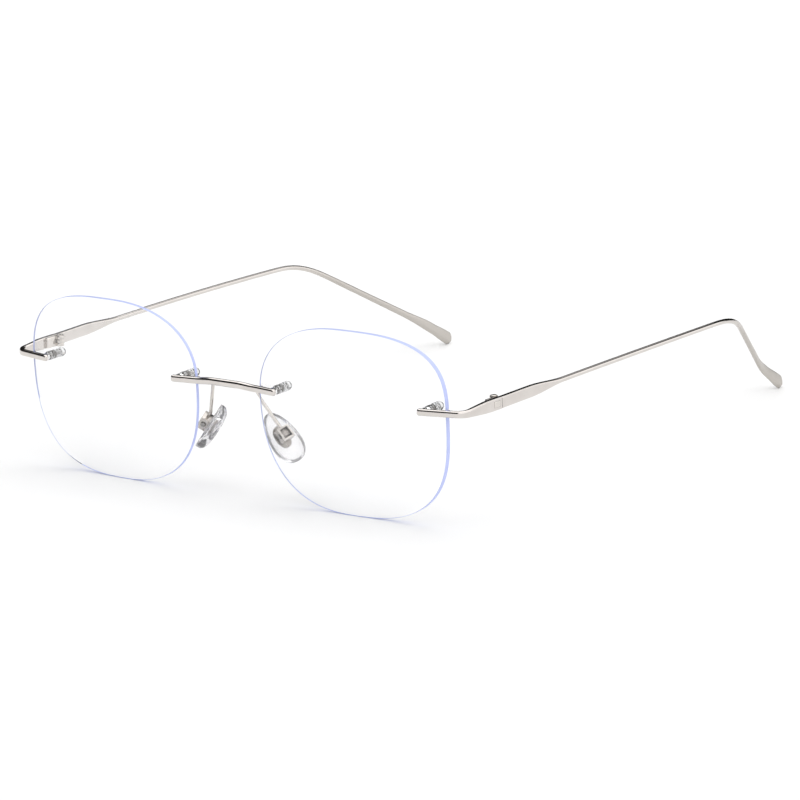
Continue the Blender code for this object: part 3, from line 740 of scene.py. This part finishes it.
def add_mount(name, side):
    """What joins a bar to the lens at one place: threaded stud, bushing, nut and cap."""
    for where, hole in (("bridge", NASAL_HOLE), ("temple", TEMPORAL_HOLE)):
        place = f"{where}_{name}"
        step = (STUD_END - STUD_START) / THREAD_STEPS
        profile = [(STUD_START + step * k, STUD_RADIUS) for k in range(THREAD_STEPS + 1)]
        stud = turned(profile, hole, shape=thread)
        new_piece(f"stud_{place}", stud, [STEEL], "front", side)
        flange_front = LENS_THICKNESS + FLANGE_GAP
        bushing = [(BUSHING_FRONT, BORE_RADIUS)]
        bushing += corner(BUSHING_FRONT, BUSHING_NECK, BUSHING_NECK_ROUND)
        bushing += [(flange_front, BUSHING_NECK)] + corner(flange_front, BUSHING_FLANGE, EDGE_ROUND)
        bushing += corner(BUSHING_BACK, BUSHING_FLANGE, -EDGE_ROUND) + [(BUSHING_BACK, BORE_RADIUS)]
        bm = turned(bushing, hole, closed=True)
        new_piece(f"bushing_{place}", bm, [PLASTIC], "front", side)
        nut = [(NUT_FRONT, BORE_RADIUS)] + corner(NUT_FRONT, NUT_RADIUS, EDGE_ROUND)
        nut += corner(NUT_BACK, NUT_RADIUS, -EDGE_ROUND) + [(NUT_BACK, BORE_RADIUS)]
        bm = turned(nut, hole, closed=True, shape=knurl)
        new_piece(f"nut_{place}", bm, [NUT_STEEL], "front", side)
        new_piece(f"cap_{place}", turned(cap_profile(), hole), [PLASTIC], "front", side)
        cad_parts[f"peg_{place}"].data.materials[0] = STEEL


# Bridge and end pieces


def on_bar(u):
    """A point on the middle line of a bar that lies along the lens's front."""
    return on_lens(u, BAR_HEIGHT, -BAR_GAP - BAR_HALF_THICK)


def add_bridge():
    half = [on_bar(BRIDGE_END), on_bar(BRIDGE_EDGE)]
    shoulder = on_bar(BRIDGE_EDGE)
    half.append(Vector((BRIDGE_SHOULDER, shoulder.y + BRIDGE_SHOULDER_BACK, shoulder.z)))
    half.append(Vector((BRIDGE_ARCH_HALF, shoulder.y, shoulder.z + BRIDGE_ARCH_RISE)))
    other = [Vector((-point.x, point.y, point.z)) for point in reversed(half)]
    radii = [BAR_BEND_RADIUS, BRIDGE_RADIUS, BRIDGE_RADIUS] * 2
    path = even(rounded_path(half + other, radii, steps=12), spacing=0.3, passes=4)
    length = distances(path)[-1]
    bar = (BAR_HALF_THICK, BAR_HALF_TALL, BAR_SQUARENESS)
    arch = (BAR_HALF_THICK, ARCH_HALF_TALL, ARCH_SQUARENESS)
    rows = [(0, *bar), (ARCH_FROM, *bar), (ARCH_FULL, *arch)]
    rows += [(length - ARCH_FULL, *arch), (length - ARCH_FROM, *bar), (length, *bar)]
    bm = sweep(path, rows, BAR_POINTS, BAR_END_ROUND, BAR_END_ROUND)
    new_piece("bridge", bm, [SILVER], "front")


def hinge_front():
    """The middle of the joint between end piece and temple."""
    return Vector((HINGE_X, LENS_CENTRE.y + HINGE_BACK, HINGE_Z))


def hinge_axis():
    """The middle of the hinge screw, inward of the joint."""
    inward = BLADE_HALF_THICK + KNUCKLE_CLEARANCE + KNUCKLE_RADIUS
    return hinge_front() - Vector((inward, 0, 0))


def add_end_piece(name, side):
    inner, outer = on_bar(END_BAR_INNER), on_bar(END_BAR_OUTER)
    corner_point = Vector((CORNER_X, LENS_CENTRE.y + CORNER_BACK, outer.z))
    back = hinge_front() - Vector((0, JOINT_GAP, 0))
    radii = [BAR_BEND_RADIUS, CORNER_RADIUS]
    corners = [inner, outer, corner_point, back]
    path = even(rounded_path(corners, radii, steps=16), spacing=0.25, passes=4)
    length = distances(path)[-1]
    bar = (BAR_HALF_THICK, BAR_HALF_TALL, BAR_SQUARENESS)
    blade = (BLADE_HALF_THICK, BLADE_HALF_TALL + END_BLADE_EXTRA, BLADE_SQUARENESS)
    rows = [(0, *bar), (END_BLADE_FROM, *bar), (length - END_BLADE_FULL, *blade), (length, *blade)]
    bm = sweep(path, rows, BAR_POINTS, BAR_END_ROUND, SMALL_BEVEL)
    slot = tab_block(SLOT_GAP, 1.0)
    new_piece(f"end_piece_{name}", bm, [SILVER], "front", side, cuts=[slot])


# Hinge


def tab_block(grow, reach):
    """The rectangular tab through the end piece's side, grown by a gap and reaching past the outer face."""
    joint = hinge_front()
    near, far = joint.y - TAB_NEAR + grow, joint.y - TAB_FAR - grow
    inner, outer = joint.x - BLADE_HALF_THICK - TAB_ROOT, joint.x + BLADE_HALF_THICK + reach
    centre = Vector(((inner + outer) / 2, (near + far) / 2, joint.z))
    halves = ((outer - inner) / 2, (near - far) / 2, TAB_HALF_TALL + grow)
    return block(centre, WORLD_AXES, halves)


def leaf(outward, long, low, high):
    """A knuckle round the hinge's axis with its flat leaf. outward is 1 for a leaf that runs back."""
    axis = hinge_axis()
    flat_outer = KNUCKLE_RADIUS + KNUCKLE_CLEARANCE - LEAF_GAP
    flat_inner = flat_outer - LEAF_THICK
    outline = [(flat_outer, long), (flat_inner, long)]
    first = math.asin(-flat_inner / KNUCKLE_RADIUS)
    arc = math.pi * 1.5 + first
    for k in range(LEAF_STEPS + 1):
        angle = math.pi / 2 + first + arc * k / LEAF_STEPS
        outline.append((KNUCKLE_RADIUS * math.cos(angle), KNUCKLE_RADIUS * math.sin(angle)))
    outline.append((flat_outer, LEAF_ROOT))
    rings = []
    for z in (low, high):
        rings.append([Vector((axis.x + x, axis.y + outward * y, axis.z + z)) for x, y in outline])
    return loft(rings)


def screw(start, along, shank, shank_radius, head_radius, head_tall, slot_axis):
    """A screw with a domed, slotted head, and the block that cuts its slot."""
    profile = [(0, 0.8 * shank_radius), (0.1, shank_radius), (shank, shank_radius)]
    profile += corner(shank, head_radius, 0.3 * head_tall)
    for k in range(1, 7):
        angle = math.radians(12 * k)
        profile.append((shank + head_tall * (0.35 + 0.65 * math.sin(angle)), head_radius * math.cos(angle)))
    top = start + along * (shank + head_tall)
    across = along.cross(slot_axis)
    slot = block(top, (slot_axis, across, along), (2 * head_radius, 0.14 * head_radius, 0.45 * head_tall))
    return lathe(start, along, profile), slot


def add_hinge(name, side):
    axis = hinge_axis()
    tall = KNUCKLE_HALF_STACK
    bore = (axis - UP * BORE_REACH, axis + UP * BORE_REACH)
    gap = KNUCKLE_HALF_MIDDLE + KNUCKLE_SLIT
    across, along = KNUCKLE_RADIUS + KNUCKLE_CLEARANCE, KNUCKLE_RADIUS + KNUCKLE_CLEARANCE_ALONG
    middle = block(axis, WORLD_AXES, (across, along, gap))
    new_piece(
        f"hinge_front_leaf_{name}", leaf(-1, LEAF_LONG, -tall, tall), [SMALL_SILVER], "front",
        side, joins=[tab_block(0, 0.0)], cuts=[middle, rod(*bore, HINGE_BORE)], bevel=SMALL_BEVEL,
    )
    temple_leaf = leaf(1, TEMPLE_LEAF_LONG, -KNUCKLE_HALF_MIDDLE, KNUCKLE_HALF_MIDDLE)
    new_piece(
        f"hinge_temple_leaf_{name}", temple_leaf, [SMALL_SILVER], f"temple_{name}", side,
        cuts=[rod(*bore, HINGE_BORE)], bevel=SMALL_BEVEL,
    )
    start = axis - UP * (tall + HINGE_SCREW_BELOW)
    shank = 2 * tall + HINGE_SCREW_EXTRA
    head = (HINGE_HEAD_RADIUS, HINGE_HEAD_TALL, HINGE_SLOT_DIRECTION)
    bm, slot = screw(start, UP, shank, HINGE_SCREW_RADIUS, *head)
    new_piece(f"hinge_screw_{name}", bm, [SMALL_SILVER], "front", side, cuts=[slot])


# Temple


def temple_path():
    """The temple's middle line: a bowed blade and wire, the bend, the drop and the flared tip."""
    start = hinge_front() + Vector((0, JOINT_GAP, 0))
    apex = Vector((BEND_X, LENS_CENTRE.y + BEND_BACK, BEND_Z))
    corners = []
    for k in range(BOW_STEPS + 1):
        share = k / BOW_STEPS
        bow = 4 * share * (1 - share)
        corners.append(start.lerp(apex, share) + Vector((BOW_OUT * bow, 0, BOW_UP * bow)))
    flare = corners[-1] + DROP_DIRECTION * DROP_LENGTH
    corners += [flare, flare + TIP_DIRECTION * TIP_LENGTH]
    radii = [0] * (BOW_STEPS - 1) + [BEND_RADIUS, FLARE_RADIUS]
    return even(rounded_path(corners, radii, steps=24), spacing=0.6, passes=24)


def add_temple(name, side):
    path = temple_path()
    length = distances(path)[-1]
    blade = (BLADE_HALF_THICK, BLADE_HALF_TALL)
    wire = (WIRE_RADIUS, WIRE_RADIUS)
    stations = [
        (0, *blade, BLADE_SQUARENESS),
        (BLADE_LENGTH - 2, *blade, 7.0),
        (BLADE_LENGTH + TAPER_LENGTH, *wire, 2.2),
        (length - WIRE_END, *wire, 2.0),
        (length - FLAT_START, 0.6, 0.72, 2.0),
        (length - FLAT_HALF, 0.58, 0.82, 2.2),
        (length - PADDLE_START, PADDLE_HALF_THICK, 1.3, 3.0),
        (length - PADDLE_FULL, PADDLE_HALF_THICK, PADDLE_HALF_WIDE, 4.0),
        (length, PADDLE_HALF_THICK, 0.94 * PADDLE_HALF_WIDE, 4.0),
    ]
    bm = sweep(
        path, stations, BAR_POINTS, SMALL_BEVEL, 0.9 * PADDLE_HALF_THICK, end_plan=PADDLE_END_ROUND,
        ridge=(length - RIDGE_START, length - PADDLE_START),
    )
    new_piece(f"temple_{name}", bm, [TEMPLE_PLATE], f"temple_{name}", side)


# Nose pad, its box and its arm


def pad_axes():
    """The pad's long axis, its wide axis, and the normal of the face that turns away from the nose."""
    back = Vector((math.sin(PAD_SPLAY), math.cos(PAD_SPLAY), 0))
    wide = (back - PAD_LONG * back.dot(PAD_LONG)).normalized()
    return PAD_LONG, wide, PAD_LONG.cross(wide)


def on_pad(along, across, out):
    """A point from the pad's own frame, whose zero is in the middle of the plate's outer face."""
    long_axis, wide_axis, normal = pad_axes()
    return PAD_CENTRE + long_axis * along + wide_axis * across + normal * out


def pad_ring(half_long, half_wide, egg, out):
    """An oval round the pad's middle. An egg-shaped one is wider below, and its middle is lower."""
    drop = PAD_DROP * egg / PAD_EGG
    ring = []
    for angle in turns(PAD_POINTS):
        x, y = superellipse(angle, 2.2)
        ring.append(on_pad(drop + half_long * x, half_wide * y * (1 + egg * x), out))
    return ring


def add_pad(name, side):
    """The soft pad: a pocket for the plate, a raised lip, a full rounded side and a crowned skin face."""
    pocket_long, pocket_wide = INSERT_HALF_LONG + POCKET_GAP, INSERT_HALF_WIDE + POCKET_GAP
    floor = -INSERT_THICK - POCKET_GAP
    rings = [pad_ring(0.9 * pocket_long, 0.9 * pocket_wide, 0.0, floor)]
    rings.append(pad_ring(pocket_long, pocket_wide, 0.0, floor + 0.05))
    rings.append(pad_ring(pocket_long, pocket_wide, 0.0, -0.1))
    # The dish between pocket and lip, then the lip's rounding, as shares of the way out and heights.
    dish = ((0.08, -0.02), (0.35, 0.02), (0.62, 0.12), (0.78, 0.32))
    lip = ((0.86, 0.55), (0.9, 0.66), (0.95, PAD_RIM))
    for share, out in dish + lip:
        egg = PAD_EGG * share
        half_long = pocket_long + (PAD_HALF_LONG - pocket_long) * share
        half_wide = pocket_wide + (PAD_HALF_WIDE - pocket_wide) * share
        rings.append(pad_ring(half_long, half_wide, egg, out))
    for scale, out in ((0.985, 0.64), (1.0, 0.45), (1.0, 0.1)):
        rings.append(pad_ring(scale * PAD_HALF_LONG, scale * PAD_HALF_WIDE, PAD_EGG, out))
    for k in range(PAD_STEPS + 1):
        angle = math.pi / 2 * k / (PAD_STEPS + 0.6)
        scale = math.cos(angle) ** 0.6
        out = -PAD_THICK * math.sin(angle)
        rings.append(pad_ring(scale * PAD_HALF_LONG, scale * PAD_HALF_WIDE, PAD_EGG, out))
    pad = new_piece(f"nose_pad_{name}", loft(rings), [SILICONE], f"nose_pad_{name}", side)


def pad_screw_bore():
    """What cuts the screw's hole through the box and the plate's tab."""
    return rod(on_pad(0, -BORE_REACH, ROCK_HEIGHT), on_pad(0, BORE_REACH, ROCK_HEIGHT), PAD_SCREW_BORE)


def add_pad_insert(name, side):
    """The oval plate in the pad's pocket, with rounded edges, and the tab that the screw goes through."""
    back = ((0.15, -INSERT_THICK), (0.0, -INSERT_THICK + 0.12))
    face = ((0.0, -0.16), (0.05, -0.06), (0.16, -0.02))
    plate = []
    for inset, out in back + face:
        plate.append(pad_ring(INSERT_HALF_LONG - inset, INSERT_HALF_WIDE - inset, 0.0, out))
    halves = (TAB_HALF_LONG, TAB_HALF_WIDE, TAB_TOP / 2 + TAB_SUNK)
    tab = block(on_pad(0, 0, TAB_TOP / 2 - TAB_SUNK), pad_axes(), halves)
    new_piece(
        f"pad_insert_{name}", loft(plate), [INSERT_STEEL], f"nose_pad_{name}", side,
        joins=[tab], cuts=[pad_screw_bore()], bevel=TAB_BEVEL,
    )


def add_pad_box(name, side):
    """The open box round the plate's tab, and the screw through both."""
    axes = pad_axes()
    centre = on_pad(0, 0, BOX_MIDDLE)
    box = block(centre, axes, (BOX_HALF_LONG, BOX_HALF_WIDE, (BOX_HIGH - BOX_LOW) / 2))
    inside = (BOX_HALF_LONG - BOX_WALL, BOX_HALF_WIDE - BOX_WALL, BORE_REACH)
    new_piece(
        f"pad_box_{name}", box, [PAD_SILVER], "front", side,
        cuts=[block(centre, axes, inside), pad_screw_bore()], bevel=BOX_BEVEL,
    )
    start = on_pad(0, BOX_HALF_WIDE, ROCK_HEIGHT)
    shank = 2 * BOX_HALF_WIDE + PAD_SCREW_EXTRA
    head = (PAD_HEAD_RADIUS, PAD_HEAD_TALL, (axes[0] + axes[2]).normalized())
    bm, slot = screw(start, -axes[1], shank, PAD_SCREW_RADIUS, *head)
    new_piece(f"pad_screw_{name}", bm, [STEEL], "front", side, cuts=[slot])


def add_pad_arm(name, side):
    """The bent wire from behind the bridge to the top of the box."""
    end = on_pad(-BOX_HALF_LONG - ARM_GAP, 0, BOX_MIDDLE)
    above = on_pad(-BOX_HALF_LONG - ARM_STRAIGHT, 0, BOX_MIDDLE)
    path = rounded_path([ARM_START, ARM_TURN, above, end], [ARM_CORNER_RADIUS] * 2, steps=12)
    arm = (ARM_RADIUS, ARM_RADIUS, 2.0)
    rows = [(0, *arm), (100, *arm)]
    path = even(path, spacing=0.15, passes=2)
    wire = sweep(path, rows, ARM_POINTS, ARM_START_ROUND, ARM_END_ROUND, upright=WORLD_AXES[0])
    new_piece(f"pad_arm_{name}", wire, [SMALL_SILVER], "front", side)


# Stage, light and camera


def add_floor():
    bm = bmesh.new()
    bmesh.ops.create_circle(bm, cap_ends=True, segments=96, radius=FLOOR_RADIUS / MM)
    look = Look("floor_white")
    look.set(Roughness=0.9, Specular_IOR_Level=0.0)
    look.colour(look.spread(look.noise(60.0), 0, 1), (0.90, 0.90, 0.90), (0.91, 0.91, 0.91))
    floor = raw_object("floor", bm, [look.material], 1)
    floor.location.z = -FLOOR_DROP


def add_light():
    """A white dome, dark low down except towards +X, and a soft key. The dark part draws the metal's edges.

    Where the floor ends, the camera itself sees a plain backdrop.
    """
    world = bpy.data.worlds.new("studio")
    bpy.context.scene.world = world
    world.use_nodes = True
    tree = world.node_tree
    background = tree.nodes["Background"]
    direction = tree.nodes.new("ShaderNodeTexCoord").outputs["Generated"]
    parts = tree.nodes.new("ShaderNodeSeparateXYZ")
    tree.links.new(direction, parts.inputs[0])
    rise = tree.nodes.new("ShaderNodeMapRange")
    tree.links.new(parts.outputs["Z"], rise.inputs["Value"])
    ramp = tree.nodes.new("ShaderNodeValToRGB")
    tree.links.new(rise.outputs["Result"], ramp.inputs["Fac"])
    elements = ramp.color_ramp.elements
    while len(elements) < len(DOME_LEVELS):
        elements.new(0.5)
    for element, (position, level) in zip(elements, DOME_LEVELS):
        element.position = position
        element.color = (level, level, level, 1)
    right = tree.nodes.new("ShaderNodeMapRange")
    right.inputs["From Min"].default_value = BAND_FADES_FROM
    right.inputs["From Max"].default_value = BAND_ENDS
    tree.links.new(parts.outputs["X"], right.inputs["Value"])
    around = colour_mix(tree, right.outputs["Result"], ramp.outputs["Color"], WHITE)
    seen = tree.nodes.new("ShaderNodeLightPath").outputs["Is Camera Ray"]
    sky = colour_mix(tree, seen, around, (DOME_SEEN,) * 3)
    tree.links.new(sky, background.inputs["Color"])
    background.inputs["Strength"].default_value = DOME_STRENGTH

    key = bpy.data.lights.new("key", "AREA")
    key.shape = "DISK"
    key.size = KEY_SIZE
    key.energy = KEY_ENERGY
    lamp = bpy.data.objects.new("key", key)
    lamp.location = KEY_PLACE
    lamp.rotation_mode = "QUATERNION"
    lamp.rotation_quaternion = (-lamp.location).to_track_quat("-Z", "Y")
    bpy.context.scene.collection.objects.link(lamp)


def add_camera():
    azimuth, elevation = math.radians(CAMERA_AZIMUTH), math.radians(CAMERA_ELEVATION)
    level = math.cos(elevation)
    back = Vector((math.sin(azimuth) * level, -math.cos(azimuth) * level, math.sin(elevation)))
    data = bpy.data.cameras.new("camera")
    data.sensor_width, data.lens = SENSOR, CAMERA_LENS
    data.clip_start, data.clip_end = CLIP_START, CLIP_END
    camera = bpy.data.objects.new("camera", data)
    camera.location = (CAMERA_AIM + back * CAMERA_DISTANCE) * MM
    camera.rotation_mode = "QUATERNION"
    roll = Quaternion((0, 0, 1), math.radians(CAMERA_ROLL))
    camera.rotation_quaternion = (-back).to_track_quat("-Z", "Y") @ roll
    bpy.context.scene.collection.objects.link(camera)
    bpy.context.scene.camera = camera


def build():
    add_bridge()
    for name, side in SIDES.items():
        add_lens(name, side)
        add_mount(name, side)
        add_end_piece(name, side)
        add_hinge(name, side)
        add_temple(name, side)
        add_pad(name, side)
        add_pad_insert(name, side)
        add_pad_box(name, side)
        add_pad_arm(name, side)
    add_floor()
    add_light()
    add_camera()
    bpy.context.scene.view_settings.view_transform = "Standard"


build()
